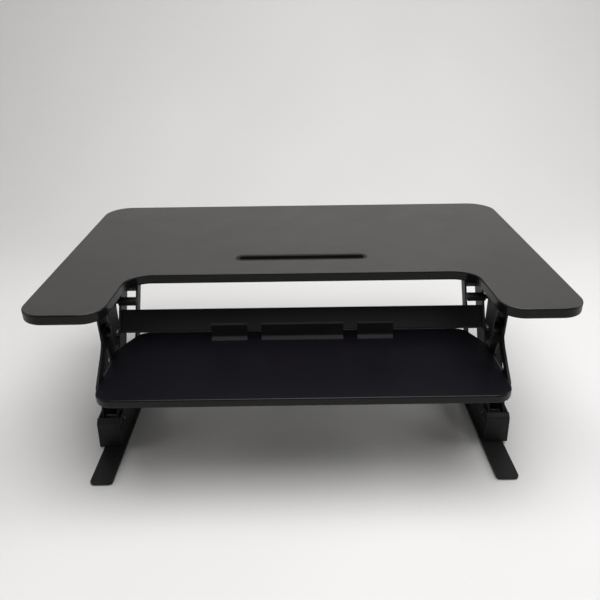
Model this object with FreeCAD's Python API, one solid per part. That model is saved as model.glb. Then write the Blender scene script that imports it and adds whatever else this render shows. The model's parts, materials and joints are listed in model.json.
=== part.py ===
"""Two-level standing desk converter on a parallelogram lift.

X runs across the desk, +Y points away from the user and +Z is up.
The origin is the middle of the footprint, on the surface that the feet rest on.
The right-hand half (+X) is drawn, and the left-hand half is its mirror image.
"""
import FreeCAD, Part
import math
import os

V = FreeCAD.Vector
OUT = "parts"

# ---- driving dimensions, in millimetres and degrees ----
DESK_WIDTH = 914.0
DESK_DEPTH = 570.0
DESK_TOP = 350.0
DESK_THICK = 18.0
DESK_REAR = 279.0
DESK_EDGE_R = 2.6
RECESS_HALF = 313.0
RECESS_BACK = -135.0
RECESS_R = 42.0
RECESS_FLARE = 7.0
WING_R = 38.0
FRONT_CORNER_R = 42.0
REAR_CORNER_R = 55.0

SLOT_LENGTH = 253.0
SLOT_WIDTH = 30.0
SLOT_Y = -58.0
SLOT_RIM = 5.0
SLOT_RIM_HEIGHT = 1.5
SLOT_DEPTH = 12.0
SLOT_WALL = 1.6

TRAY_HALF = 346.0
TRAY_FRONT = -328.0
TRAY_REAR = -98.0
TRAY_TOP = 212.0
TRAY_THICK = 15.0
TRAY_CLIP = 62.0
TRAY_FRONT_R = 32.0
TRAY_SIDE_R = 40.0
TRAY_REAR_R = 28.0
STOP_HEIGHT = 32.0
STOP_THICK = 7.0
STOP_BACK = -122.0
STOP_FOOT = 6.0
CENTRE_STOP_HALF = 78.0
SIDE_STOP_IN = 105.0
SIDE_STOP_OUT = 173.0

LINK_LENGTH = 310.0
LINK_ANGLE = 58.0
LINK_SPACING = 144.0
LINK_EYE_R = 15.0
LINK_WAIST = 25.0
LINK_THICK = 4.0
PIVOT_Y = -162.0
PIVOT_Z = 48.0
PIN_R = 5.0
RUNNING_FIT = 0.06
SPOOL_R = 9.0
FRONT_TIE_AT = 150.0
REAR_TIE_AT = 205.0
TIE_R = 7.0

WALL = 3.0
CHANNEL_IN = 357.0
CHANNEL_OUT = 401.0
LINK_IN = CHANNEL_IN + WALL + 2.0
LINK_OUT = CHANNEL_OUT - WALL - 2.0
WASHER_GAP = 0.2
WASHER_R = 13.0
GROOVES = 3
GROOVE_DEPTH = 1.5
PIN_HEAD = 2.6
PIN_HEAD_R = 8.5
PIN_DOME_R = 4.0
PIN_WASHER = 1.5
PIN_NUT = 3.5
PIN_NUT_FLATS = 15.0

FOOT_FRONT = -292.0
FOOT_REAR = 328.0
FOOT_IN = 351.0
FOOT_OUT = 392.0
FOOT_THICK = 4.5
FOOT_R = 7.0
PAD_THICK = 2.5
PAD_INSET = 4.0
PAD_LENGTH = 68.0
PAD_R = 5.0
PAD_MIDDLE = (-60.0, 10.0)
CAP_LENGTH = 24.0
CAP_HEIGHT = 17.0
CAP_INSET = 6.0
STRETCHER_FRONT = 262.0
STRETCHER_SIDE = 24.0
STRETCHER_HEIGHT = 18.0
STRETCHER_WALL = 2.0
STRETCHER_SETBACK = 8.0
BRACKET_FRONT = -191.5
BRACKET_REAR = 26.0
BRACKET_TOP = 64.0
BASE_SCREW_Y = (-120.0, -60.0)
BASE_SCREW_R = 2.9
BASE_HEAD_R = 5.5
BASE_HEAD_HEIGHT = 3.0
WOOD_SCREW_R = 2.2
WOOD_HEAD_R = 5.0
WOOD_BITE = 9.0
DESK_SCREW_Y = (-110.0, 60.0, 100.0, 180.0)
TRAY_SCREW_X = 330.0
TRAY_SCREW_Y = (-262.0, -166.0)

SPRING_WIRE = 2.8
SPRING_COILS = 4

BAR_LOW = 174.0
BAR_HIGH = 220.0
BAR_BACK = -6.0
BAR_FRONT = 14.0
BAR_WALL = 2.0

RAIL_FRONT = -130.0
RAIL_REAR = 190.0
RAIL_DROP = 38.0
RAIL_NOSE_DROP = 22.0
RAIL_NOSE_REAR = -78.0
CROSS_FRONT = 168.0
CROSS_REAR = 188.0
CROSS_LIP = 16.0
CROSS_WALL = 2.0

HUB_Y = -192.0
HUB_Z = 262.0
HUB_R = 20.0
HUB_BOLT_R = 4.0
HUB_SPOOL_R = 12.0
HANGER_FRONT = -283.0
HANGER_REAR = -146.0
HANGER_INSET = 8.0
HANGER_FLANGE_IN = 316.0
HANGER_GAP_FRONT = -258.0
HANGER_GAP_REAR = -192.0
HANGER_IN = 348.0
HANGER_OUT = 352.0
CHEEK_IN = 331.0

LEVER_Y = -48.0
LEVER_Z = 303.0
LEVER_IN = 376.0
LEVER_OUT = 382.0
LEVER_PIN_R = 3.0
LEVER_HALF = 5.0
BLADE_FRONT = -152.0
BLADE_REAR = -140.0
BLADE_END = 309.0
GRIP_END = 334.0
QUADRANT_R = 23.0
QUADRANT_HUB = 14.0
NOSE_ANGLE = 250.0
NOSE_CLEAR = 0.2
NOTCH_STEP = 10.5
NOTCH_DEPTH = 2.5
NOTCH_RAISED = -2
NOTCH_LOWERED = 4

BUMPER_R = 8.0
BUMPER_HEIGHT = 9.0

# ---- worked-out places ----
UNDER = DESK_TOP - DESK_THICK
DESK_FRONT = DESK_REAR - DESK_DEPTH
FOOT_TOP = PAD_THICK + FOOT_THICK
LINK_COS = math.cos(math.radians(LINK_ANGLE))
LINK_SIN = math.sin(math.radians(LINK_ANGLE))
REACH = LINK_LENGTH * LINK_COS
REAR_PIVOT_Y = PIVOT_Y + LINK_SPACING
UPPER_Y = PIVOT_Y + REACH
UPPER_Z = PIVOT_Z + LINK_LENGTH * LINK_SIN
TRAY_UNDER = TRAY_TOP - TRAY_THICK
HANGER_FLANGE_Z = TRAY_UNDER - WALL


# ---- drawing helpers ----
def rounded_wire(corners, place):
    """Closed wire through corners (a, b, radius), each rounded; place maps (a, b) to space."""
    points = [V(a, b, 0) for a, b, _ in corners]
    ends = []
    for i, (_, _, radius) in enumerate(corners):
        here = points[i]
        back = (points[i - 1] - here).normalize()
        ahead = (points[(i + 1) % len(points)] - here).normalize()
        half = back.getAngle(ahead) / 2.0
        reach = radius / math.tan(half)
        middle = (back + ahead).normalize()
        centre = here + middle * (radius / math.sin(half))
        ends.append((here + back * reach, centre - middle * radius, here + ahead * reach, radius))
    edges = []
    for i, (start, mid, end, radius) in enumerate(ends):
        if radius > 0:
            edges.append(Part.Arc(place(start), place(mid), place(end)).toShape())
        following = ends[(i + 1) % len(ends)][0]
        if (following - end).Length > 1e-6:
            edges.append(Part.LineSegment(place(end), place(following)).toShape())
    return Part.Wire(edges)


def plan_solid(corners, z_low, z_high):
    """Solid with a rounded outline in plan."""
    face = Part.Face(rounded_wire(corners, lambda p: V(p.x, p.y, z_low)))
    return face.extrude(V(0, 0, z_high - z_low))


def side_solid(corners, x_low, x_high):
    """Solid with a rounded outline seen from the side: corners are (y, z, radius)."""
    face = Part.Face(rounded_wire(corners, lambda p: V(x_low, p.x, p.y)))
    return face.extrude(V(x_high - x_low, 0, 0))


def rectangle(a_low, a_high, b_low, b_high, radius=0.0):
    """Corners of a rectangle with equally rounded corners."""
    return [(a_low, b_low, radius), (a_high, b_low, radius),
            (a_high, b_high, radius), (a_low, b_high, radius)]


def block(x_low, x_high, y_low, y_high, z_low, z_high):
    """Plain rectangular block."""
    return Part.makeBox(x_high - x_low, y_high - y_low, z_high - z_low, V(x_low, y_low, z_low))


def rod(x_low, x_high, y, z, radius):
    """Round bar along X."""
    return Part.makeCylinder(radius, x_high - x_low, V(x_low, y, z), V(1, 0, 0))


def tube(x_low, x_high, y, z, outer, inner):
    """Round tube along X."""
    return rod(x_low, x_high, y, z, outer).cut(rod(x_low - 1, x_high + 1, y, z, inner))


def turned(profile, y, z):
    """Solid of revolution about an axis along X: profile is a list of (x, radius)."""
    points = [V(x, y, z + r) for x, r in profile]
    face = Part.Face(Part.makePolygon(points + [points[0]]))
    return face.revolve(V(0, y, z), V(1, 0, 0), 360)


def upright(x, y, z_low, z_high, radius):
    """Round bar along Z."""
    return Part.makeCylinder(radius, z_high - z_low, V(x, y, z_low))


def hexagon(x_low, x_high, y, z, flats):
    """Hexagonal nut or head along X."""
    reach = flats / math.sqrt(3.0)
    turns = [math.radians(60 * k) for k in range(7)]
    ring = [V(x_low, y + reach * math.cos(turn), z + reach * math.sin(turn)) for turn in turns]
    return Part.Face(Part.makePolygon(ring)).extrude(V(x_high - x_low, 0, 0))


def on_link(along, off, base_y=PIVOT_Y):
    """Place (y, z) on a link: along from its lower pivot, off towards the user."""
    return (base_y + along * LINK_COS - off * LINK_SIN, PIVOT_Z + along * LINK_SIN + off * LINK_COS)


def mirrored(shape):
    """The same piece on the left-hand side."""
    return shape.mirror(V(0, 0, 0), V(1, 0, 0))


def save(name, shape):
    """Write one named piece."""
    shape.exportStep(os.path.join(OUT, name + ".step"))


def save_pair(name, shape):
    """Write the right-hand piece and its mirror image."""
    save(name + "_right", shape)
    save(name + "_left", mirrored(shape))


def save_group(name, shapes):
    """Write small pieces of both sides as one named group of separate solids."""
    save(name, Part.makeCompound(shapes + [mirrored(shape) for shape in shapes]))


def softened(solid, chosen, radius):
    """Round the edges that chosen accepts."""
    return solid.makeFillet(radius, [e for e in solid.Edges if chosen(e)])


def flat_at(z, tolerance=1e-3):
    """Test for an edge that lies wholly at one height."""
    return lambda e: abs(e.BoundBox.ZMin - z) < tolerance and abs(e.BoundBox.ZMax - z) < tolerance


# ---- work surfaces ----
def desktop():
    """Board with a keyboard recess in its front edge and a pocket for the tablet slot."""
    half = DESK_WIDTH / 2.0
    corners = [(-half, DESK_REAR, REAR_CORNER_R), (-half, DESK_FRONT, FRONT_CORNER_R),
               (-RECESS_HALF - RECESS_FLARE, DESK_FRONT, WING_R), (-RECESS_HALF, RECESS_BACK, RECESS_R),
               (RECESS_HALF, RECESS_BACK, RECESS_R), (RECESS_HALF + RECESS_FLARE, DESK_FRONT, WING_R),
               (half, DESK_FRONT, FRONT_CORNER_R), (half, DESK_REAR, REAR_CORNER_R)]
    board = plan_solid(corners, UNDER, DESK_TOP)
    board = softened(board, flat_at(DESK_TOP), DESK_EDGE_R)
    board = softened(board, flat_at(UNDER), DESK_EDGE_R)
    rebate = slot_outline(0, DESK_TOP - SLOT_RIM_HEIGHT, DESK_TOP + 1)
    pocket = slot_outline(SLOT_RIM, DESK_TOP - SLOT_DEPTH, DESK_TOP)
    return board.cut([rebate, pocket])


def slot_outline(inset, z_low, z_high):
    """Round-ended bar in the place of the tablet slot, inset from its rim."""
    long_half = SLOT_LENGTH / 2.0 - inset
    wide_half = SLOT_WIDTH / 2.0 - inset
    corners = rectangle(-long_half, long_half, SLOT_Y - wide_half, SLOT_Y + wide_half, wide_half - 0.05)
    return plan_solid(corners, z_low, z_high)


def slot_liner():
    """Moulded trough with a flush rim that lines the tablet slot."""
    rim = slot_outline(0, DESK_TOP - SLOT_RIM_HEIGHT, DESK_TOP)
    trough = slot_outline(SLOT_RIM, DESK_TOP - SLOT_DEPTH, DESK_TOP)
    hollow = slot_outline(SLOT_RIM + SLOT_WALL, DESK_TOP - SLOT_DEPTH + SLOT_WALL, DESK_TOP + 1)
    liner = rim.fuse(trough).cut(hollow).removeSplitter()
    return softened(liner, flat_at(DESK_TOP), SLOT_RIM_HEIGHT / 2.0)


def keyboard_tray():
    """Lower shelf with rounded front corners and clipped rear corners."""
    corners = [(-TRAY_HALF, TRAY_FRONT, TRAY_FRONT_R), (TRAY_HALF, TRAY_FRONT, TRAY_FRONT_R),
               (TRAY_HALF, TRAY_REAR - TRAY_CLIP, TRAY_SIDE_R),
               (TRAY_HALF - TRAY_CLIP / 2.0, TRAY_REAR, TRAY_REAR_R),
               (-TRAY_HALF + TRAY_CLIP / 2.0, TRAY_REAR, TRAY_REAR_R),
               (-TRAY_HALF, TRAY_REAR - TRAY_CLIP, TRAY_SIDE_R)]
    board = plan_solid(corners, TRAY_UNDER, TRAY_TOP)
    board = softened(board, flat_at(TRAY_TOP), DESK_EDGE_R)
    return softened(board, flat_at(TRAY_UNDER), DESK_EDGE_R)


def tray_stop(x_low, x_high):
    """Moulded upstand near the rear edge of the tray that keeps a keyboard on it."""
    face = STOP_BACK - STOP_THICK
    profile = [(face - STOP_FOOT, TRAY_TOP, 0), (STOP_BACK, TRAY_TOP, 0),
               (STOP_BACK, TRAY_TOP + STOP_HEIGHT, STOP_THICK * 0.4),
               (face, TRAY_TOP + STOP_HEIGHT, STOP_THICK * 0.4),
               (face, TRAY_TOP + STOP_FOOT, STOP_FOOT * 0.7)]
    return side_solid(profile, x_low, x_high)


# ---- base ----
def foot():
    """Flat steel foot bar with rounded corners."""
    return plan_solid(rectangle(FOOT_IN, FOOT_OUT, FOOT_FRONT, FOOT_REAR, FOOT_R), PAD_THICK, FOOT_TOP)


def foot_pads():
    """Three rubber pads under one foot."""
    spots = [(FOOT_FRONT + PAD_INSET, FOOT_FRONT + PAD_INSET + PAD_LENGTH), PAD_MIDDLE,
             (FOOT_REAR - PAD_INSET - PAD_LENGTH, FOOT_REAR - PAD_INSET)]
    pads = [plan_solid(rectangle(FOOT_IN + PAD_INSET, FOOT_OUT - PAD_INSET, a, b, PAD_R), 0, PAD_THICK)
            for a, b in spots]
    return Part.makeCompound(pads)


def foot_end_cap():
    """Moulded cap with a sloping front on the rear end of one foot."""
    back = FOOT_REAR - 2.0
    front = back - CAP_LENGTH
    profile = [(front, FOOT_TOP, 0), (back, FOOT_TOP, 0), (back, FOOT_TOP + CAP_HEIGHT, CAP_INSET),
               (front + CAP_INSET, FOOT_TOP + CAP_HEIGHT, CAP_INSET)]
    return side_solid(profile, FOOT_IN + CAP_INSET, FOOT_OUT - CAP_INSET)


def base_bracket():
    """Folded steel upright: two cheeks, a floor and a front cover folded back over the top."""
    def cheek(x_low):
        outline = [(BRACKET_FRONT + 3, FOOT_TOP, 0), (BRACKET_REAR, FOOT_TOP, 4), (BRACKET_REAR, 50, 20),
                   (-18, 66, 30), (-60, 50, 60), (-120, 50, 60), (-150, BRACKET_TOP + 3, 24),
                   (BRACKET_FRONT + 9, BRACKET_TOP, 4)]
        return side_solid(outline, x_low, x_low + WALL)
    cover = [(BRACKET_FRONT, FOOT_TOP, 0), (BRACKET_FRONT + WALL, FOOT_TOP, 0),
             (BRACKET_FRONT + WALL + 5, BRACKET_TOP - 6, 4), (BRACKET_FRONT + WALL + 12, BRACKET_TOP, 0),
             (BRACKET_FRONT + WALL + 10, BRACKET_TOP + WALL, 0), (BRACKET_FRONT + 5, BRACKET_TOP - 5, 7)]
    floor = block(CHANNEL_IN, CHANNEL_OUT, BRACKET_FRONT + WALL, BRACKET_REAR, FOOT_TOP, FOOT_TOP + WALL)
    body = cheek(CHANNEL_IN).fuse([cheek(CHANNEL_OUT - WALL), floor,
                                   side_solid(cover, CHANNEL_IN, CHANNEL_OUT)])
    for y in (PIVOT_Y, REAR_PIVOT_Y):
        body = body.cut(rod(CHANNEL_IN - 1, CHANNEL_OUT + 1, y, PIVOT_Z, PIN_R))
    return body.removeSplitter()


def rear_stretcher():
    """Rectangular tube that ties the two feet together behind the lift."""
    end = FOOT_OUT - STRETCHER_SETBACK
    wall = STRETCHER_WALL
    rear = STRETCHER_FRONT + STRETCHER_SIDE
    outer = plan_solid(rectangle(-end, end, STRETCHER_FRONT, rear), FOOT_TOP, FOOT_TOP + STRETCHER_HEIGHT)
    inner = block(-end - 1, end + 1, STRETCHER_FRONT + wall, rear - wall,
                  FOOT_TOP + wall, FOOT_TOP + STRETCHER_HEIGHT - wall)
    return outer.cut(inner)


def base_screws():
    """Button-head screws that hold the brackets and the stretcher on the feet."""
    middle = (CHANNEL_IN + FOOT_OUT) / 2.0
    bracket_floor = FOOT_TOP + WALL
    stretcher_top = FOOT_TOP + STRETCHER_HEIGHT
    stretcher_middle = STRETCHER_FRONT + STRETCHER_SIDE / 2.0
    seats = [(y, bracket_floor) for y in BASE_SCREW_Y] + [(stretcher_middle, stretcher_top)]
    screws = []
    for side in (-1, 1):
        for y, seat in seats:
            shank = upright(side * middle, y, PAD_THICK + 0.5, seat, BASE_SCREW_R)
            head = upright(side * middle, y, seat, seat + BASE_HEAD_HEIGHT, BASE_HEAD_R)
            screws.append(shank.fuse(head))
    return screws


# ---- lift ----
def link_plate(base_y, x_low):
    """One pressed link plate: two pivot eyes joined by a slightly bowed waist."""
    waist = LINK_WAIST / 2.0
    middle = LINK_LENGTH / 2.0
    local = [(-LINK_EYE_R, -LINK_EYE_R, LINK_EYE_R - 0.05), (34, -LINK_EYE_R, 40), (70, -waist, 60),
             (middle, -waist + 2, 400), (LINK_LENGTH - 70, -waist, 60), (LINK_LENGTH - 34, -LINK_EYE_R, 40),
             (LINK_LENGTH + LINK_EYE_R, -LINK_EYE_R, LINK_EYE_R - 0.05),
             (LINK_LENGTH + LINK_EYE_R, LINK_EYE_R, LINK_EYE_R - 0.05),
             (LINK_LENGTH - 34, LINK_EYE_R, 40), (LINK_LENGTH - 70, waist + 1, 60),
             (middle, waist + 2, 400), (70, waist + 1, 60), (34, LINK_EYE_R, 40),
             (-LINK_EYE_R, LINK_EYE_R, LINK_EYE_R - 0.05)]
    corners = [on_link(along, off, base_y) + (radius,) for along, off, radius in local]
    plate = side_solid(corners, x_low, x_low + LINK_THICK)
    for along in (0.0, LINK_LENGTH):
        y, z = on_link(along, 0, base_y)
        plate = plate.cut(rod(x_low - 1, x_low + LINK_THICK + 1, y, z, PIN_R + RUNNING_FIT))
    return plate


def grooved_spool(y, z, x_low, x_high, radius, bore):
    """Spacer between two plates with turned grooves."""
    bands = 2 * GROOVES + 1
    pitch = (x_high - x_low) / bands
    profile = [(x_low, bore)]
    for k in range(bands):
        r = radius if k % 2 == 0 else radius - GROOVE_DEPTH
        profile += [(x_low + k * pitch, r), (x_low + (k + 1) * pitch, r)]
    profile.append((x_high, bore))
    return turned(profile, y, z)


def link_spools(base_y, tie_at, plain_top):
    """Spacers at the two pivots of a link and the tie between its plates."""
    low = LINK_IN + LINK_THICK
    high = LINK_OUT - LINK_THICK
    bore = PIN_R + RUNNING_FIT
    pieces = [grooved_spool(*on_link(0, 0, base_y), low, high, SPOOL_R, bore)]
    top = on_link(LINK_LENGTH, 0, base_y)
    if plain_top:
        pieces.append(tube(low, high, *top, SPOOL_R, bore))
    else:
        pieces.append(grooved_spool(*top, low, high, SPOOL_R, bore))
    pieces.append(rod(low, high, *on_link(tie_at, 1, base_y), TIE_R))
    return pieces


def link_washers(base_y):
    """Nylon washers between the link plates and the channel walls."""
    washers = []
    for along in (0.0, LINK_LENGTH):
        y, z = on_link(along, 0, base_y)
        bore = PIN_R + RUNNING_FIT
        washers.append(tube(CHANNEL_IN + WALL + WASHER_GAP, LINK_IN, y, z, WASHER_R, bore))
        washers.append(tube(LINK_OUT, CHANNEL_OUT - WALL - WASHER_GAP, y, z, WASHER_R, bore))
    return washers


def at_quadrant(angle, radius, x=LEVER_IN):
    """Point at an angle and radius round the upper pivot of the front link."""
    turn = math.radians(angle)
    return V(x, UPPER_Y + radius * math.cos(turn), UPPER_Z + radius * math.sin(turn))


def wedge(angle, low, high, low_half, high_half, x_low, x_high):
    """Tapered radial bar: half widths low_half and high_half at radii low and high."""
    turn = math.radians(angle)
    across = V(0, -math.sin(turn), math.cos(turn))
    tip = at_quadrant(angle, low, x_low)
    root = at_quadrant(angle, high, x_low)
    ring = [tip - across * low_half, root - across * high_half,
            root + across * high_half, tip + across * low_half]
    return Part.Face(Part.makePolygon(ring + [ring[0]])).extrude(V(x_high - x_low, 0, 0))


def lock_quadrant():
    """Notched sector with a hub ring, fixed round the upper spool of the front link."""
    margin = NOTCH_STEP * 0.8
    first = NOSE_ANGLE + NOTCH_RAISED * NOTCH_STEP - margin
    last = NOSE_ANGLE + NOTCH_LOWERED * NOTCH_STEP + margin
    centre = at_quadrant(0, 0)
    rim = [at_quadrant(first, QUADRANT_R), at_quadrant((first + last) / 2.0, QUADRANT_R),
           at_quadrant(last, QUADRANT_R)]
    outline = Part.Wire([Part.LineSegment(centre, rim[0]).toShape(), Part.Arc(*rim).toShape(),
                         Part.LineSegment(rim[2], centre).toShape()])
    sector = Part.Face(outline).extrude(V(LEVER_OUT - LEVER_IN, 0, 0))
    disc = sector.fuse(rod(LEVER_IN, LEVER_OUT, UPPER_Y, UPPER_Z, QUADRANT_HUB))
    disc = disc.cut(rod(LEVER_IN - 1, LEVER_OUT + 1, UPPER_Y, UPPER_Z, SPOOL_R))
    for position in range(NOTCH_RAISED, NOTCH_LOWERED + 1):
        disc = disc.cut(wedge(NOSE_ANGLE + position * NOTCH_STEP, QUADRANT_R - NOTCH_DEPTH,
                              QUADRANT_R + 1, 0.7, 1.4, LEVER_IN - 1, LEVER_OUT + 1))
    return disc.removeSplitter()


def crossbar():
    """Rectangular tube between the two front links."""
    def section(inset):
        ring = [(BAR_LOW + inset, BAR_BACK + inset), (BAR_HIGH - inset, BAR_BACK + inset),
                (BAR_HIGH - inset, BAR_FRONT - inset), (BAR_LOW + inset, BAR_FRONT - inset)]
        return [on_link(along, off) + (max(3.0 - inset, 1.0),) for along, off in ring]
    return side_solid(section(0), -LINK_IN, LINK_IN).cut(
        side_solid(section(BAR_WALL), -LINK_IN - 1, LINK_IN + 1))


def lift_spring():
    """Torsion spring of square wire, coiled round the lower spool of the front link."""
    low = LINK_IN + LINK_THICK + 0.3 + SPRING_WIRE / 2.0
    room = LINK_OUT - LINK_THICK - LINK_IN - LINK_THICK - 0.6 - SPRING_WIRE
    radius = SPOOL_R + 1.0 + SPRING_WIRE / 2.0
    path = Part.makeHelix(room / SPRING_COILS, room, radius)
    half = SPRING_WIRE / 2.0
    ring = [V(radius - half, 0, -half), V(radius + half, 0, -half), V(radius + half, 0, half),
            V(radius - half, 0, half)]
    section = Part.makePolygon(ring + [ring[0]])
    coil = Part.Wire(path).makePipeShell([section], True, True)
    coil.rotate(V(0, 0, 0), V(0, 1, 0), 90)
    coil.translate(V(low, PIVOT_Y, PIVOT_Z))
    return coil


def pivot_pin(y, z):
    """Shouldered pivot bolt with a low domed head, a washer and a nut."""
    top = CHANNEL_IN - PIN_HEAD
    head = turned([(top, 0), (top, PIN_DOME_R), (top + 1.0, PIN_HEAD_R - 1.0),
                   (CHANNEL_IN, PIN_HEAD_R), (CHANNEL_IN, 0)], y, z)
    washer_end = CHANNEL_OUT + PIN_WASHER
    shank = rod(CHANNEL_IN, washer_end + PIN_NUT + 1, y, z, PIN_R)
    nut = hexagon(washer_end, washer_end + PIN_NUT, y, z, PIN_NUT_FLATS)
    washer = rod(CHANNEL_OUT, washer_end, y, z, PIN_HEAD_R + 0.5)
    return head.fuse([shank, nut, washer]).removeSplitter()


# ---- carriage under the desktop ----
def upper_rail():
    """Folded channel under the desktop that carries the upper pivots."""
    top = block(CHANNEL_IN, CHANNEL_OUT, RAIL_FRONT, RAIL_REAR, UNDER - WALL, UNDER)
    low = UNDER - RAIL_DROP
    shallow = UNDER - RAIL_NOSE_DROP
    profile = [(RAIL_FRONT, UNDER, 0), (RAIL_FRONT, shallow, 6), (RAIL_NOSE_REAR, shallow, 16),
               (RAIL_NOSE_REAR + 34, low, 20),
               (RAIL_REAR - 30, low, 24), (RAIL_REAR, low + 14, 6), (RAIL_REAR, UNDER, 0)]
    rail = top.fuse([side_solid(profile, CHANNEL_IN, CHANNEL_IN + WALL),
                     side_solid(profile, CHANNEL_OUT - WALL, CHANNEL_OUT)])
    for y in (UPPER_Y, UPPER_Y + LINK_SPACING):
        rail = rail.cut(rod(CHANNEL_IN - 1, CHANNEL_OUT + 1, y, UPPER_Z, PIN_R))
    return rail.removeSplitter()


def rear_cross_rail():
    """Flat stiffening channel across the underside of the desktop."""
    wall = CROSS_WALL
    web = block(-CHANNEL_IN, CHANNEL_IN, CROSS_FRONT, CROSS_REAR, UNDER - wall, UNDER)
    lips = [block(-CHANNEL_IN, CHANNEL_IN, y, y + wall, UNDER - CROSS_LIP, UNDER - wall)
            for y in (CROSS_FRONT, CROSS_REAR - wall)]
    return web.fuse(lips).removeSplitter()


def hub_clevis():
    """Bent bracket under the wing with two round-ended cheeks for the tray hanger."""
    def cheek(x_low, x_high):
        outline = [(HUB_Y - 24, UNDER, 0), (HUB_Y - HUB_R, HUB_Z - HUB_R, HUB_R - 0.05),
                   (HUB_Y + HUB_R, HUB_Z - HUB_R, HUB_R - 0.05), (HUB_Y + 20.5, UNDER, 0)]
        return side_solid(outline, x_low, x_high).cut(rod(x_low - 1, x_high + 1, HUB_Y, HUB_Z, HUB_BOLT_R))
    web = block(CHEEK_IN, HANGER_OUT + WALL, HUB_Y - 24, HUB_Y + 20, UNDER - WALL, UNDER)
    return cheek(CHEEK_IN, CHEEK_IN + WALL).fuse(
        [cheek(HANGER_OUT, HANGER_OUT + WALL), web]).removeSplitter()


def tray_hanger():
    """Side plate that carries the tray: a bowed front leg and a straight rear leg from the hub."""
    outline = [(HUB_Y - HUB_R, HUB_Z + HUB_R, HUB_R - 0.05), (HUB_Y - HUB_R - 9, HUB_Z - 8, 60),
               (HANGER_FRONT, HANGER_FLANGE_Z + 10, 16), (HANGER_FRONT, HANGER_FLANGE_Z, 2),
               (HANGER_REAR, HANGER_FLANGE_Z, 2), (HANGER_REAR, HANGER_FLANGE_Z + 10, 8),
               (HUB_Y + HUB_R, HUB_Z - 22, 30), (HUB_Y + HUB_R, HUB_Z + HUB_R, HUB_R - 0.05)]
    gap_floor = HANGER_FLANGE_Z + 12
    gap = [(HUB_Y - 14, HUB_Z - 17, 5), (HANGER_GAP_FRONT, gap_floor, 5), (HANGER_GAP_REAR, gap_floor, 5)]
    plate = side_solid(outline, HANGER_IN, HANGER_OUT).cut(side_solid(gap, HANGER_IN - 1, HANGER_OUT + 1))
    plate = plate.cut(rod(HANGER_IN - 1, HANGER_OUT + 1, HUB_Y, HUB_Z, HUB_BOLT_R))
    flange = block(HANGER_FLANGE_IN, HANGER_IN, HANGER_FRONT + HANGER_INSET, HANGER_REAR - HANGER_INSET,
                   HANGER_FLANGE_Z, TRAY_UNDER)
    return plate.fuse(flange).removeSplitter()


def hub_bolt():
    """Through bolt of the hub with a domed head and a nut."""
    head = turned([(CHEEK_IN - 4, 0), (CHEEK_IN - 4, 3), (CHEEK_IN - 2.5, 6.5), (CHEEK_IN, 7.5),
                   (CHEEK_IN, 0)], HUB_Y, HUB_Z)
    return head.fuse(rod(CHEEK_IN, HANGER_OUT + WALL, HUB_Y, HUB_Z, HUB_BOLT_R))


def lever_mount():
    """Two lugs under the rail that hold the pivot of the release lever."""
    def lug(x_low, x_high):
        outline = [(LEVER_Y - 9, UNDER - WALL, 0), (LEVER_Y - 9, LEVER_Z - 9, 8.9),
                   (LEVER_Y + 9, LEVER_Z - 9, 8.9), (LEVER_Y + 9, UNDER - WALL, 0)]
        bore = rod(x_low - 1, x_high + 1, LEVER_Y, LEVER_Z, LEVER_PIN_R)
        return side_solid(outline, x_low, x_high).cut(bore)
    top = block(LEVER_IN - 4, LEVER_OUT + 4, LEVER_Y - 9, LEVER_Y + 9, UNDER - WALL - 2, UNDER - WALL)
    return lug(LEVER_IN - 4, LEVER_IN - 1.5).fuse([lug(LEVER_OUT + 1.5, LEVER_OUT + 4), top]).removeSplitter()


def release_lever():
    """Steel lever: a blade under the wing, an arm, and a tail with a nose below the quadrant."""
    low = LEVER_Z - LEVER_HALF
    high = LEVER_Z + LEVER_HALF
    tail = at_quadrant(NOSE_ANGLE, QUADRANT_R + 9)
    heel = at_quadrant(NOSE_ANGLE + 10, QUADRANT_R + 4)
    throat = at_quadrant(NOSE_ANGLE - 12, QUADRANT_R + 4)
    outline = [(BLADE_FRONT, low, 3), (LEVER_Y - 8, low - 4, 12), (tail.y - 5, tail.z - 1, 4),
               (tail.y + 6, tail.z - 1, 3), (heel.y, heel.z, 1), (throat.y, throat.z, 2),
               (LEVER_Y + 10, LEVER_Z, 4), (LEVER_Y + 8, LEVER_Z + 8, 6), (LEVER_Y - 8, high + 3, 8),
               (BLADE_FRONT, high, 3)]
    nose = wedge(NOSE_ANGLE, QUADRANT_R + NOSE_CLEAR, QUADRANT_R + 5, 0.45, 1.3, LEVER_IN, LEVER_OUT)
    blade = block(BLADE_END, LEVER_IN, BLADE_FRONT, BLADE_REAR, LEVER_Z - 2, LEVER_Z + 2)
    body = side_solid(outline, LEVER_IN, LEVER_OUT).fuse([nose, blade])
    return body.cut(rod(LEVER_IN - 1, LEVER_OUT + 1, LEVER_Y, LEVER_Z,
                        LEVER_PIN_R + RUNNING_FIT)).removeSplitter()


def lever_grip():
    """Moulded sleeve over the end of the lever blade."""
    wall = 3.0
    sleeve = block(BLADE_END - 8, GRIP_END, BLADE_FRONT - wall, BLADE_REAR + wall, LEVER_Z - 6, LEVER_Z + 6)
    sleeve = sleeve.makeFillet(wall, sleeve.Edges)
    return sleeve.cut(block(BLADE_END, GRIP_END + 1, BLADE_FRONT, BLADE_REAR, LEVER_Z - 2, LEVER_Z + 2))


def lever_pin():
    """Short pin through the lugs and the lever."""
    return rod(LEVER_IN - 5, LEVER_OUT + 5, LEVER_Y, LEVER_Z, LEVER_PIN_R)


def under_bumper():
    """Rubber buffer under the desktop beside the recess corner."""
    place = V(RECESS_HALF + 5, RECESS_BACK + 12, UNDER)
    return Part.makeCone(BUMPER_R, BUMPER_R - 2, BUMPER_HEIGHT, place, V(0, 0, -1))


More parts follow.
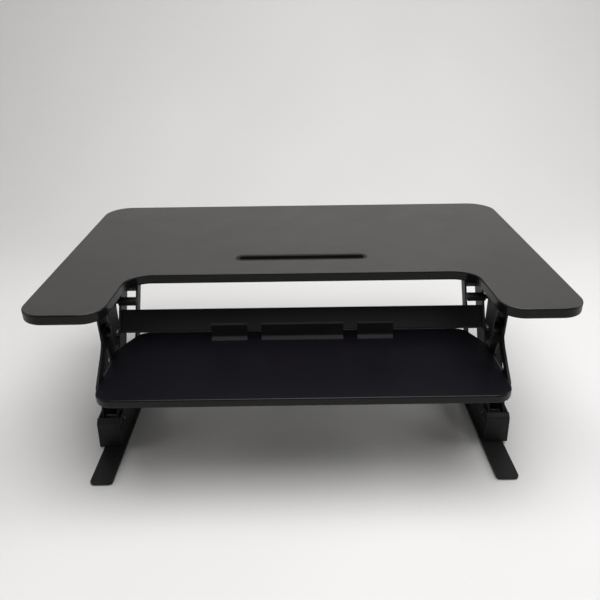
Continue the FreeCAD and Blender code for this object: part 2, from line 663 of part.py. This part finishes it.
def wood_screws(x, rows, seat, head_height):
    """Screws driven up into a board on both sides of the desk, with their heads under seat."""
    screws = []
    for side in (-1, 1):
        for y, tip in rows:
            head = upright(side * x, y, seat - head_height, seat, WOOD_HEAD_R)
            screws.append(head.fuse(upright(side * x, y, seat, tip, WOOD_SCREW_R)))
    return screws


def desktop_screws():
    """Pan-head screws through the rails into the desktop."""
    rows = [(y, UNDER + WOOD_BITE) for y in DESK_SCREW_Y]
    return wood_screws((CHANNEL_IN + CHANNEL_OUT) / 2.0, rows, UNDER - WALL, 2.5)


def tray_screws():
    """Pan-head screws up through the hanger flanges into the tray."""
    rows = [(y, TRAY_UNDER + WOOD_BITE) for y in TRAY_SCREW_Y]
    return wood_screws(TRAY_SCREW_X, rows, HANGER_FLANGE_Z, 2.2)


def drilled(solid, screws):
    """Solid with the screws' own space taken out of it."""
    return solid.cut(screws)


def build():
    """Make every piece."""
    os.makedirs(OUT, exist_ok=True)
    board_screws = desktop_screws()
    shelf_screws = tray_screws()
    foot_screws = base_screws()
    save("desktop", drilled(desktop(), board_screws))
    save("tablet_slot_liner", slot_liner())
    save("desktop_screws", Part.makeCompound(board_screws))
    save("rear_cross_rail", rear_cross_rail())
    save("keyboard_tray", drilled(keyboard_tray(), shelf_screws))
    save("tray_screws", Part.makeCompound(shelf_screws))
    save("tray_stop_centre", tray_stop(-CENTRE_STOP_HALF, CENTRE_STOP_HALF))
    save_pair("tray_stop", tray_stop(SIDE_STOP_IN, SIDE_STOP_OUT))
    save("base_screws", Part.makeCompound(foot_screws))
    save("rear_stretcher", drilled(rear_stretcher(), foot_screws))
    save_pair("foot", drilled(foot(), foot_screws))
    save_pair("foot_pads", foot_pads())
    save_pair("foot_end_cap", foot_end_cap())
    save_pair("base_bracket", drilled(base_bracket(), foot_screws))
    save("lift_crossbar", crossbar())
    for name, base_y, tie_at in (("front_link", PIVOT_Y, FRONT_TIE_AT),
                                 ("rear_link", REAR_PIVOT_Y, REAR_TIE_AT)):
        save_pair(name + "_inner", link_plate(base_y, LINK_IN))
        save_pair(name + "_outer", link_plate(base_y, LINK_OUT - LINK_THICK))
        save_pair(name + "_spools", Part.makeCompound(link_spools(base_y, tie_at, name == "front_link")))
    save_group("front_link_washers", link_washers(PIVOT_Y))
    save_pair("rear_link_washers", Part.makeCompound(link_washers(REAR_PIVOT_Y)))
    save_pair("lock_quadrant", lock_quadrant())
    save_pair("lift_spring", lift_spring())
    save_group("base_pivot_pins", [pivot_pin(y, PIVOT_Z) for y in (PIVOT_Y, REAR_PIVOT_Y)])
    save_group("upper_pivot_pins", [pivot_pin(y + REACH, UPPER_Z) for y in (PIVOT_Y, REAR_PIVOT_Y)])
    save_pair("upper_rail", drilled(upper_rail(), board_screws))
    save_pair("hub_clevis", hub_clevis())
    save_pair("hub_spool", grooved_spool(HUB_Y, HUB_Z, CHEEK_IN + WALL, HANGER_IN, HUB_SPOOL_R, HUB_BOLT_R))
    save_group("hub_bolts", [hub_bolt()])
    save_pair("tray_hanger", drilled(tray_hanger(), shelf_screws))
    save_pair("lever_mount", lever_mount())
    save_group("lever_pins", [lever_pin()])
    save_pair("release_lever", release_lever())
    save_pair("lever_grip", lever_grip())
    save_pair("under_bumper", under_bumper())


build()
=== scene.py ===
"""Two-level standing desk converter: finishes, fine fittings, light and camera round the fixed frame."""
import json
import math
import bmesh
import bpy
from mathutils import Matrix, Vector


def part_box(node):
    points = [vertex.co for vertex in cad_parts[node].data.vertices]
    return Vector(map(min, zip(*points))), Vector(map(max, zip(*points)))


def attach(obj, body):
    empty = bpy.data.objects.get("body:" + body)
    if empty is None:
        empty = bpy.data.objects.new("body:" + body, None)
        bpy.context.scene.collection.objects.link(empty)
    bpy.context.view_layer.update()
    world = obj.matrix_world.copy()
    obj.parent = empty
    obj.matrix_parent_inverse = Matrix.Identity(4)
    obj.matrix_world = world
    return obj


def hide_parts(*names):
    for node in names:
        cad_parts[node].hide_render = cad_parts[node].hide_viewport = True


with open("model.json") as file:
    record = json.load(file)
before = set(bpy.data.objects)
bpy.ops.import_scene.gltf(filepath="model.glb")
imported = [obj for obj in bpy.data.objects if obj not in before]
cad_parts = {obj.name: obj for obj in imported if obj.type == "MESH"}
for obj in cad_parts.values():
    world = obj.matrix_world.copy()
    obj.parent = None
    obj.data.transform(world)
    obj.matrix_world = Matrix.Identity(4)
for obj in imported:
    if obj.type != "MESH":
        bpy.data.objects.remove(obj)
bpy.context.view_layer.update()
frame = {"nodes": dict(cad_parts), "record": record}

NODES = frame["nodes"]
SIDES = ("left", "right")

# ---- camera, in metres; the dip is below the horizon, the yaw towards +X and the roll to the right ----
EYE = Vector((-0.0064, -1.1313, 0.7798))
DIP = math.radians(25.918)
YAW = math.radians(0.151)
ROLL = math.radians(0.721)
LENS_MM = 36.0
SENSOR_MM = 36.0

# ---- sizes of the fine fittings, in metres ----
MM = 0.001
ROUND_STEPS = 32
SHARP = math.radians(32)
SOCKET_SIDES = 6
LINK_ANGLE = math.radians(58.0)
BAR_ALONG = (0.174, 0.220)
BAR_OFF = (-0.006, 0.014)
FRONT_PIVOT = (-0.162, 0.048)
WELD_R = 0.0016
WELD_SPAN = (0.06, 0.94)
WELD_RIPPLES = 22
WELD_ROWS = 3 * WELD_RIPPLES
WELD_SIDES = 10
COIL_WIRE_R = 0.0015
COIL_TURNS = 5.5
COIL_STEPS = 20
SAME_POINT = 1e-6
TURNED_STEPS = 24
DOME_STEPS = 6
SOCKET_SHARE = 0.52
THREAD_CHAMFER = 0.8 * MM
NUT_FLATS = 15.0 * MM
NUT_CHAMFER = 0.86
PIN_SHANK_R = 4.95 * MM
PIN_WASHER_R = 9.0 * MM
HUB_SHANK_R = 3.95 * MM
HUB_HEAD_R = 7.4 * MM
GRIP_STATIONS = 44
GRIP_SIDES = 36
GRIP_SQUARENESS = 0.45
GRIP_END = 0.10
GRIP_END_SIZE = 0.72
GRIP_RIBS = 7
GRIP_RIB_DEPTH = 0.05
GRIP_RIBBED = (0.15, 0.85)

# ---- colours ----
WORKTOP_BLACK = (0.026, 0.0245, 0.023, 1)
WORKTOP_FLECK = (0.050, 0.047, 0.043, 1)
# Darker copy of the worktop colour for its side faces: painted shade, not a different edge material.
WORKTOP_EDGE_SHADE = (0.0035, 0.0033, 0.0033, 1)
TRAY_BLACK = (0.0034, 0.0029, 0.0048, 1)
TRAY_FLECK = (0.0070, 0.0062, 0.0088, 1)
# Slightly darker copy of the tray colour for its side faces: painted shade, not a different edge material.
TRAY_EDGE_SHADE = (0.0030, 0.0028, 0.0032, 1)
COAT_BLACK = (0.0038, 0.0035, 0.0036, 1)
COAT_RUBBED = (0.010, 0.0092, 0.009, 1)
PLASTIC_BLACK = (0.0035, 0.0035, 0.0040, 1)
PLASTIC_FLOW = (0.007, 0.007, 0.0075, 1)
NYLON_GREY = (0.030, 0.030, 0.031, 1)
NYLON_FLOW = (0.055, 0.055, 0.056, 1)
RUBBER_BLACK = (0.012, 0.012, 0.012, 1)
RUBBER_DUST = (0.045, 0.044, 0.042, 1)
SCREW_DARK = (0.045, 0.045, 0.047, 1)
SCREW_RUBBED = (0.150, 0.148, 0.145, 1)
STEEL_DARK = (0.040, 0.040, 0.042, 1)
STEEL_RUBBED = (0.120, 0.118, 0.115, 1)
PAPER_LOW = (0.62, 0.615, 0.61, 1)
PAPER_HIGH = (0.67, 0.665, 0.655, 1)
SKY = (1.0, 0.99, 0.98, 1)
SKY_STRENGTH = 0.16
CLOUD_SHADE = 0.72
EDGE_GLOSS = 0.05


# ---- shading: one class for values, one for a material's tree ----
class Value:
    """A node's output. Arithmetic on it adds Math nodes to its material."""

    def __init__(self, finish, output):
        self.finish = finish
        self.output = output

    def math(self, operation, *values):
        return self.finish.node("ShaderNodeMath", {"operation": operation}, dict(enumerate(values)))

    def __add__(self, other):
        return self.math("ADD", self, other)

    __radd__ = __add__

    def __sub__(self, other):
        return self.math("SUBTRACT", self, other)

    def __rsub__(self, other):
        return self.math("SUBTRACT", other, self)

    def __mul__(self, other):
        return self.math("MULTIPLY", self, other)

    __rmul__ = __mul__

    def above(self, low, high):
        """0 below low, 1 above high and a smooth step between them."""
        sockets = {"Value": self, "From Min": low, "From Max": high}
        return self.finish.node("ShaderNodeMapRange", {"interpolation_type": "SMOOTHSTEP"}, sockets)


class Finish:
    """One procedural material: its tree, its shader and the nodes that feed it."""

    def __init__(self, name, **constants):
        self.material = bpy.data.materials.new(name)
        self.material.use_nodes = True
        self.tree = self.material.node_tree
        self.shader = self.tree.nodes["Principled BSDF"]
        for socket, value in constants.items():
            self.shader.inputs[socket.replace("_", " ")].default_value = value

    def put(self, socket, value):
        """Link a value to a socket, or set a plain number or colour on it."""
        if isinstance(value, Value):
            self.tree.links.new(value.output, socket)
        else:
            socket.default_value = value

    def node(self, kind, settings=None, sockets=None, output=0):
        """Any node: its settings come first, then the values or links of its sockets."""
        made = self.tree.nodes.new(kind)
        for name, value in (settings or {}).items():
            setattr(made, name, value)
        for key, value in (sockets or {}).items():
            self.put(made.inputs[key], value)
        return Value(self, made.outputs[output])

    def place(self):
        """Position on the object, in metres."""
        return self.node("ShaderNodeTexCoord", output="Object")

    def parts_of(self, vector):
        """The three components of a vector."""
        split = self.tree.nodes.new("ShaderNodeSeparateXYZ")
        self.put(split.inputs[0], vector)
        return [Value(self, out) for out in split.outputs]

    def stretched(self, x, y, z):
        """Position scaled along each axis, for grain that runs one way."""
        sockets = {0: self.place(), 1: (x, y, z)}
        return self.node("ShaderNodeVectorMath", {"operation": "MULTIPLY"}, sockets)

    def noise(self, scale, detail=2.0, roughness=0.5, vector=None):
        """Soft random field between 0 and 1; scale is in features per metre."""
        where = vector or self.place()
        sockets = {"Vector": where, "Scale": scale, "Detail": detail, "Roughness": roughness}
        return self.node("ShaderNodeTexNoise", None, sockets)

    def cells(self, scale):
        """Distance to the nearest grain of a fine pebbled surface."""
        sockets = {"Vector": self.place(), "Scale": scale}
        return self.node("ShaderNodeTexVoronoi", None, sockets)

    def mix(self, factor, first, second):
        """Blend of two colours."""
        sockets = {0: factor, 6: first, 7: second}
        return self.node("ShaderNodeMix", {"data_type": "RGBA"}, sockets, output=2)

    def bump(self, height, strength, distance, under=None):
        """Relief of a height field; under is a broader relief that it lies on."""
        sockets = {"Height": height, "Strength": strength, "Distance": distance}
        if under is not None:
            sockets["Normal"] = under
        return self.node("ShaderNodeBump", None, sockets)

    def show_over(self, factor, **constants):
        """Show the main shader where factor is 1 and a plainer one, set by constants, where it is 0."""
        plain = self.tree.nodes.new("ShaderNodeBsdfPrincipled")
        for socket, value in constants.items():
            plain.inputs[socket.replace("_", " ")].default_value = value
        joint = self.tree.nodes.new("ShaderNodeMixShader")
        self.put(joint.inputs[0], factor)
        self.tree.links.new(plain.outputs[0], joint.inputs[1])
        self.tree.links.new(self.shader.outputs[0], joint.inputs[2])
        self.tree.links.new(joint.outputs[0], self.tree.nodes["Material Output"].inputs["Surface"])

    def feed(self, **links):
        """Connect worked-out values to the shader and give the material."""
        for socket, value in links.items():
            self.put(self.shader.inputs[socket.replace("_", " ")], value)
        return self.material


def board_laminate(name, body, fleck, edge, gloss):
    """Satin laminate board with a pebbled face and a smooth moulded edge; the edge's darker colour is painted
    shade on the faces that do not point up.
    """
    finish = Finish(name, Specular_IOR_Level=gloss)
    facing = finish.parts_of(finish.node("ShaderNodeNewGeometry", output="Normal"))[2]
    face = facing.above(0.80, 0.97)
    pebble = finish.noise(1500.0, 2.0, 0.6)
    cloud = finish.noise(5.0, 3.0)
    fibre = finish.noise(60.0, 3.0, 0.6, finish.stretched(0.25, 6.0, 6.0))
    flecks = finish.noise(900.0, 1.0).above(0.60, 0.72) * 0.5 + fibre.above(0.45, 0.75) * 0.35
    top = finish.mix(flecks, body, fleck)
    soft = [channel * CLOUD_SHADE for channel in body[:3]] + [1.0]
    top = finish.mix(cloud.above(0.35, 0.65) * 0.35, top, soft)
    smudge = finish.noise(14.0, 4.0, 0.55)
    rough = 0.36 + 0.05 * pebble + 0.10 * smudge
    # The plain shader on the faces that do not point up takes the darker edge colour: painted shade, while
    # the top keeps the board colour.
    finish.show_over(face, Base_Color=edge, Roughness=0.45, Specular_IOR_Level=EDGE_GLOSS,
                     Coat_Weight=0.35, Coat_Roughness=0.12)
    broad = finish.bump(finish.noise(9.0, 1.0), 0.10, 0.0006)
    grain = finish.bump(pebble * 0.8 + fibre * 0.4, 0.16, 0.00025, broad)
    return finish.feed(Base_Color=top, Roughness=rough, Normal=grain)


def powder_coat(name, body, light):
    """Fine textured powder coat on steel, slightly polished where hands and neighbours rub it."""
    finish = Finish(name, Specular_IOR_Level=0.32)
    peel = finish.noise(700.0, 3.0, 0.6)
    grit = finish.cells(1300.0)
    rub = finish.noise(26.0, 5.0, 0.65).above(0.58, 0.75)
    colour = finish.mix(rub * 0.55 + peel.above(0.55, 0.7) * 0.25, body, light)
    rough = 0.44 + 0.14 * peel - 0.08 * rub
    relief = finish.bump(peel + grit * 0.5, 0.28, 0.00022)
    return finish.feed(Base_Color=colour, Roughness=rough, Normal=relief)


def moulded_plastic(name, body, light, sheen):
    """Spark-eroded plastic moulding with a faint flow pattern."""
    finish = Finish(name, Specular_IOR_Level=0.25)
    grain = finish.cells(1900.0)
    flow = finish.noise(30.0, 3.0, 0.5, finish.stretched(0.5, 1.0, 3.0))
    colour = finish.mix(flow.above(0.4, 0.7) * 0.6, body, light)
    rough = sheen + 0.12 * grain + 0.06 * flow
    relief = finish.bump(grain, 0.3, 0.00018)
    return finish.feed(Base_Color=colour, Roughness=rough, Normal=relief)


def black_rubber():
    """Matt rubber with dust in its pores."""
    finish = Finish("pad_rubber", Specular_IOR_Level=0.35)
    pores = finish.noise(1100.0, 3.0, 0.7)
    dust = finish.noise(45.0, 5.0, 0.6).above(0.5, 0.78)
    colour = finish.mix(dust * 0.5, RUBBER_BLACK, RUBBER_DUST)
    rough = 0.72 + 0.16 * pores
    return finish.feed(Base_Color=colour, Roughness=rough, Normal=finish.bump(pores, 0.35, 0.0003))


def bare_metal(name, body, light, rough_at):
    """Blackened steel with turning marks and brighter rubbed spots."""
    finish = Finish(name, Metallic=0.85)
    lathe = finish.noise(160.0, 2.0, 0.5, finish.stretched(22.0, 1.0, 1.0))
    rub = finish.noise(140.0, 4.0, 0.6).above(0.52, 0.72)
    colour = finish.mix(rub * 0.7, body, light)
    rough = rough_at + 0.12 * lathe - 0.07 * rub
    return finish.feed(Base_Color=colour, Roughness=rough, Normal=finish.bump(lathe, 0.12, 0.00012))


def make_finishes():
    """Every finish of the converter, by the record's slot."""
    return {
        "desktop_board": board_laminate("worktop_laminate", WORKTOP_BLACK, WORKTOP_FLECK, WORKTOP_EDGE_SHADE, 0.45),
        "tray_board": board_laminate("tray_laminate", TRAY_BLACK, TRAY_FLECK, TRAY_EDGE_SHADE, 0.11),
        "black_powder_coat": powder_coat("steel_powder_coat", COAT_BLACK, COAT_RUBBED),
        "black_plastic": moulded_plastic("moulded_black", PLASTIC_BLACK, PLASTIC_FLOW, 0.55),
        "nylon": moulded_plastic("washer_nylon", NYLON_GREY, NYLON_FLOW, 0.42),
        "rubber": black_rubber(),
        "fastener_steel": bare_metal("screw_black_oxide", SCREW_DARK, SCREW_RUBBED, 0.30),
        "dark_steel": bare_metal("blackened_steel", STEEL_DARK, STEEL_RUBBED, 0.34),
    }


# ---- stage, light and camera ----
def backdrop():
    """Pale floor that sweeps up into the wall behind."""
    wide = 6.0
    front = -3.0
    back = 1.9
    bend = 0.9
    high = 4.0
    profile = [(front, 0.0), (back - bend, 0.0)]
    for k in range(1, ROUND_STEPS + 1):
        turn = math.radians(90 * k / ROUND_STEPS)
        profile.append((back - bend + bend * math.sin(turn), bend - bend * math.cos(turn)))
    profile.append((back, high))
    build = bmesh.new()
    rows = [[build.verts.new((x, y, z)) for x in (-wide, wide)] for y, z in profile]
    for low, top in zip(rows, rows[1:]):
        build.faces.new((low[0], low[1], top[1], top[0]))
    sheet = finished_mesh("backdrop", build)
    finish = Finish("backdrop_paper", Specular_IOR_Level=0.2)
    tone = finish.noise(1.6, 2.0)
    colour = finish.mix(tone, PAPER_LOW, PAPER_HIGH)
    sheet.data.materials.append(finish.feed(Base_Color=colour, Roughness=0.85 + 0.05 * tone))


def soft_light(name, place, aim, size, power):
    """Rectangular soft light that points from a place to an aim."""
    data = bpy.data.lights.new(name, "AREA")
    data.shape = "RECTANGLE"
    data.size = size[0]
    data.size_y = size[1]
    data.energy = power
    lamp = bpy.data.objects.new(name, data)
    lamp.location = place
    lamp.rotation_euler = (Vector(aim) - Vector(place)).to_track_quat("-Z", "Y").to_euler()
    bpy.context.scene.collection.objects.link(lamp)


def light_the_stage():
    """Even room light: a large panel overhead, washes on the wall and the floor, and a fill on each side."""
    world = bpy.data.worlds.new("room")
    world.use_nodes = True
    sky = world.node_tree.nodes["Background"]
    sky.inputs["Color"].default_value = SKY
    sky.inputs["Strength"].default_value = SKY_STRENGTH
    bpy.context.scene.world = world
    soft_light("overhead", (0.2, -0.25, 2.4), (0.0, 0.1, 0.0), (2.4, 1.6), 63.0)
    soft_light("wall_wash", (0.0, 0.4, 2.9), (0.0, 1.9, 0.9), (3.2, 0.8), 9.0)
    soft_light("front_floor", (0.5, -1.1, 1.9), (0.15, -0.45, 0.0), (1.4, 0.5), 9.0)
    soft_light("right_fill", (2.1, 0.1, 1.2), (0.0, 0.0, 0.1), (1.2, 1.0), 12.0)
    soft_light("left_fill", (-2.1, -0.3, 1.2), (0.0, 0.0, 0.1), (1.2, 1.0), 6.0)


def place_camera():
    """Camera a little above the worktop, in front of the user's side."""
    data = bpy.data.cameras.new("camera")
    data.lens = LENS_MM
    data.sensor_width = SENSOR_MM
    data.clip_start = 0.01
    camera = bpy.data.objects.new("camera", data)
    forward = Vector((math.cos(DIP) * math.sin(YAW), math.cos(DIP) * math.cos(YAW), -math.sin(DIP)))
    level = Vector((math.cos(YAW), -math.sin(YAW), 0.0))
    up = math.cos(ROLL) * level.cross(forward) + math.sin(ROLL) * level
    right = forward.cross(up)
    turn = Matrix((right, up, -forward)).transposed()
    camera.matrix_world = Matrix.Translation(EYE) @ turn.to_4x4()
    bpy.context.scene.collection.objects.link(camera)
    bpy.context.scene.camera = camera


# ---- mesh helpers ----
def finished_mesh(name, build):
    """Object from a bmesh: faces point outwards, round faces are smooth and corners stay sharp."""
    bmesh.ops.recalc_face_normals(build, faces=build.faces)
    data = bpy.data.meshes.new(name)
    build.to_mesh(data)
    build.free()
    data.shade_smooth()
    data.set_sharp_from_angle(angle=SHARP)
    item = bpy.data.objects.new(name, data)
    bpy.context.scene.collection.objects.link(item)
    return item


def ring_of(build, middle, side, across, radius, sides, steps):
    """Ring of points round a middle: a circle, or a polygon with the same number of points."""
    points = []
    for k in range(steps):
        turn = 2.0 * math.pi * k / steps
        reach = radius
        if sides:
            sector = math.pi / sides
            reach = radius * math.cos(sector) / math.cos((turn % (2.0 * sector)) - sector)
        points.append(build.verts.new(middle + reach * (math.cos(turn) * side + math.sin(turn) * across)))
    return points


def skin(build, rings):
    """Side faces between neighbouring closed rings and a face on each end."""
    steps = len(rings[0])
    for low, top in zip(rings, rings[1:]):
        for k in range(steps):
            build.faces.new((low[k], low[(k + 1) % steps], top[(k + 1) % steps], top[k]))
    build.faces.new(rings[0])
    build.faces.new(rings[-1][::-1])


def turn_into(build, profile, centre, axis):
    """Closed turned body: profile rows are (reach, radius, sides), sides 0 for a circle."""
    axis = Vector(axis).normalized()
    side = axis.orthogonal().normalized()
    across = axis.cross(side)
    rings = [ring_of(build, Vector(centre) + axis * reach, side, across, radius, sides, TURNED_STEPS)
             for reach, radius, sides in profile]
    skin(build, rings)


def solids_of(node):
    """Lowest and highest corners of each separate solid in a frame node."""
    build = bmesh.new()
    build.from_mesh(NODES[node].data)
    bmesh.ops.remove_doubles(build, verts=build.verts, dist=SAME_POINT)
    boxes = []
    left = set(build.verts)
    while left:
        stack = [left.pop()]
        found = []
        while stack:
            vert = stack.pop()
            found.append(vert.co.copy())
            for edge in vert.link_edges:
                other = edge.other_vert(vert)
                if other in left:
                    left.discard(other)
                    stack.append(other)
        low = Vector([min(co[i] for co in found) for i in range(3)])
        high = Vector([max(co[i] for co in found) for i in range(3)])
        boxes.append((low, high))
    build.free()
    return sorted(boxes, key=lambda pair: tuple(round(c, 4) for c in pair[0]))


def fitted(name, build, finish, slot, body, *nodes):
    """Finish a fitting, give it its material and let it stand for its frame nodes."""
    item = finished_mesh(name, build)
    item.data.materials.append(finish)
    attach(item, body)
    if nodes:
        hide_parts(*nodes)
    return item


# ---- fittings that stand for plain frame nodes ----
def socket_head(head, radius, depth):
    """Profile of a low domed head with a hexagon socket, from its seat outwards to the socket's floor."""
    socket = radius * SOCKET_SHARE
    turns = [math.radians(90 * k / DOME_STEPS) for k in range(1, DOME_STEPS + 1)]
    dome = [(head * math.sin(turn), radius - radius * 0.34 * (1.0 - math.cos(turn)), 0) for turn in turns]
    floor = (head - depth, socket * 0.98, SOCKET_SIDES)
    return [(0.0, radius, 0)] + dome + [(head, socket, SOCKET_SIDES), floor]


def upright_screws(name, finish, body, head_up, shank_r):
    """Socket-head screws in place of the plain ones of a node, standing on Z."""
    build = bmesh.new()
    for low, high in solids_of(name):
        middle = (low + high) / 2.0
        radius = (high.x - low.x) / 2.0
        head = radius * 0.5
        seat = high.z - head if head_up else low.z + head
        tip = low.z if head_up else high.z
        way = 1.0 if head_up else -1.0
        shank = abs(seat - tip)
        profile = [(-shank, shank_r * 0.7, 0), (-shank + shank_r, shank_r, 0), (0.0, shank_r, 0)]
        profile += socket_head(head, radius, head * 0.6)
        turn_into(build, profile, (middle.x, middle.y, seat), (0, 0, way))
    return fitted(name + "_detailed", build, finish, "fastener_steel", body, name)


def pivot_bolts(name, finish, body):
    """Shouldered bolts along X: domed socket head inside, washer, chamfered nut and thread end outside."""
    build = bmesh.new()
    head = 2.4 * MM
    head_r = 8.3 * MM
    washer = 1.5 * MM
    nut = 3.6 * MM
    nut_r = NUT_FLATS / math.sqrt(3.0)
    for low, high in solids_of(name):
        middle = (low + high) / 2.0
        way = 1.0 if middle.x > 0 else -1.0
        inner = low.x if way > 0 else high.x
        outer = high.x if way > 0 else low.x
        seat = inner + way * head
        length = abs(outer - seat)
        centre = (seat, middle.y, middle.z)
        thread = [(-length, PIN_SHANK_R * 0.8, 0), (-length + THREAD_CHAMFER, PIN_SHANK_R, 0)]
        shank = thread + [(0.0, PIN_SHANK_R, 0)]
        turn_into(build, shank + socket_head(head, head_r, head * 0.7), centre, (-way, 0, 0))
        washer_low = length - 6.0 * MM
        nut_low = washer_low + washer
        nut_high = nut_low + nut
        rows = [(washer_low, PIN_SHANK_R, 0), (washer_low, PIN_WASHER_R, 0), (nut_low, PIN_WASHER_R, 0),
                (nut_low, nut_r * NUT_CHAMFER, 0), (nut_low + 0.5 * MM, nut_r, SOCKET_SIDES),
                (nut_high - 0.5 * MM, nut_r, SOCKET_SIDES), (nut_high, nut_r * NUT_CHAMFER, 0),
                (nut_high, PIN_SHANK_R, 0)]
        turn_into(build, rows, centre, (way, 0, 0))
    return fitted(name + "_detailed", build, finish, "fastener_steel", body, name)


def hub_fasteners(finish):
    """Domed socket bolts through the tray hubs."""
    build = bmesh.new()
    head = 3.8 * MM
    for low, high in solids_of("hub_bolts"):
        middle = (low + high) / 2.0
        way = 1.0 if middle.x > 0 else -1.0
        inner = low.x if way > 0 else high.x
        seat = inner + way * head
        length = abs((high.x if way > 0 else low.x) - seat)
        profile = [(-length, 3.2 * MM, 0), (-length + THREAD_CHAMFER, HUB_SHANK_R, 0), (0.0, HUB_SHANK_R, 0)]
        profile += socket_head(head, HUB_HEAD_R, head * 0.6)
        turn_into(build, profile, (seat, middle.y, middle.z), (-way, 0, 0))
    return fitted("hub_bolts_detailed", build, finish, "fastener_steel", "carriage", "hub_bolts")


def coil_spring(side, finish):
    """Round-wire torsion spring without legs, in place of the plain coil."""
    node = "lift_spring_" + side
    low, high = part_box(node)
    middle = (low + high) / 2.0
    coil_r = (high.z - low.z) / 2.0 - COIL_WIRE_R
    run = high.x - low.x - 2.0 * COIL_WIRE_R
    steps = int(COIL_TURNS * COIL_STEPS)
    points = []
    for k in range(steps + 1):
        turn = 2.0 * math.pi * COIL_TURNS * k / steps
        points.append(Vector((low.x + COIL_WIRE_R + run * k / steps, middle.y + coil_r * math.cos(turn),
                              middle.z + coil_r * math.sin(turn))))
    data = bpy.data.curves.new(node + "_wire", "CURVE")
    data.dimensions = "3D"
    data.bevel_depth = COIL_WIRE_R
    data.bevel_resolution = 4
    data.use_fill_caps = True
    spline = data.splines.new("POLY")
    spline.points.add(len(points) - 1)
    for point, co in zip(spline.points, points):
        point.co = (*co, 1.0)
    wire = bpy.data.objects.new(node + "_wire", data)
    bpy.context.scene.collection.objects.link(wire)
    wire.data.materials.append(finish)
    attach(wire, "base")
    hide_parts(node)


def lever_handle(side, finish):
    """Moulded squeeze grip: a sleeve with round ends and finger ribs, in place of the plain one."""
    node = "lever_grip_" + side
    low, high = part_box(node)
    middle = (low + high) / 2.0
    half = (high - low) / 2.0
    build = bmesh.new()
    rings = []
    for i in range(GRIP_STATIONS + 1):
        t = i / GRIP_STATIONS
        along = -1.0 + 2.0 * t
        end = min(1.0, (1.0 - abs(along)) / GRIP_END)
        shrink = GRIP_END_SIZE + (1.0 - GRIP_END_SIZE) * math.sqrt(1.0 - (1.0 - end) ** 2)
        ribbed = GRIP_RIBBED[0] < t < GRIP_RIBBED[1]
        wave = 0.5 + 0.5 * math.cos(2.0 * math.pi * GRIP_RIBS * t)
        rib = 1.0 - GRIP_RIB_DEPTH * wave * ribbed
        ring = []
        for k in range(GRIP_SIDES):
            turn = 2.0 * math.pi * k / GRIP_SIDES
            y = math.copysign(abs(math.cos(turn)) ** GRIP_SQUARENESS, math.cos(turn))
            z = math.copysign(abs(math.sin(turn)) ** GRIP_SQUARENESS, math.sin(turn))
            ring.append(build.verts.new((middle.x + half.x * along, middle.y + half.y * shrink * y,
                                         middle.z + half.z * shrink * rib * z)))
        rings.append(ring)
    skin(build, rings)
    fitted("squeeze_grip_" + side, build, finish, "black_plastic", "lever_" + side, node)


# ---- trim that the frame leaves to this script ----
def weld_beads(finish):
    """Rippled fillet welds along the two wide sides of the lift crossbar's ends."""
    cos = math.cos(LINK_ANGLE)
    sin = math.sin(LINK_ANGLE)
    bar_middle = sum(BAR_OFF) / 2.0
    bar_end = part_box("lift_crossbar")[1].x
    out = Vector((1, 0, 0))
    for side, way in zip(SIDES, (-1.0, 1.0)):
        build = bmesh.new()
        for off, (start, stop) in zip(BAR_OFF, (BAR_ALONG, BAR_ALONG[::-1])):
            up = Vector((0, -sin, cos)) * math.copysign(1.0, off - bar_middle)
            rings = []
            for k in range(WELD_ROWS + 1):
                share = WELD_SPAN[0] + (WELD_SPAN[1] - WELD_SPAN[0]) * k / WELD_ROWS
                along = start + (stop - start) * share
                swell = WELD_R * (0.86 + 0.14 * math.cos(2.0 * math.pi * k / 3.0))
                middle = Vector((way * (bar_end - WELD_R * 0.4), FRONT_PIVOT[0] + along * cos - off * sin,
                                 FRONT_PIVOT[1] + along * sin + off * cos))
                rings.append(ring_of(build, middle, out, up, swell, 0, WELD_SIDES))
            skin(build, rings)
        fitted("crossbar_weld_" + side, build, finish, "black_powder_coat", "front_links")


def dress_nodes(finishes):
    """Give every frame node the finish of its slot."""
    for part in frame["record"]["subparts"]:
        item = NODES[part["node"]]
        item.data.materials.clear()
        item.data.materials.append(finishes[part["material_slot"]])


bpy.context.scene.view_settings.view_transform = "Standard"
place_camera()
backdrop()
light_the_stage()
finishes = make_finishes()
dress_nodes(finishes)
screw_steel = finishes["fastener_steel"]
upright_screws("base_screws", screw_steel, "base", True, 2.8 * MM)
upright_screws("desktop_screws", screw_steel, "carriage", False, 2.1 * MM)
upright_screws("tray_screws", screw_steel, "carriage", False, 2.1 * MM)
pivot_bolts("base_pivot_pins", screw_steel, "base")
pivot_bolts("upper_pivot_pins", screw_steel, "carriage")
hub_fasteners(screw_steel)
for side in SIDES:
    coil_spring(side, finishes["dark_steel"])
    lever_handle(side, finishes["black_plastic"])
weld_beads(finishes["black_powder_coat"])
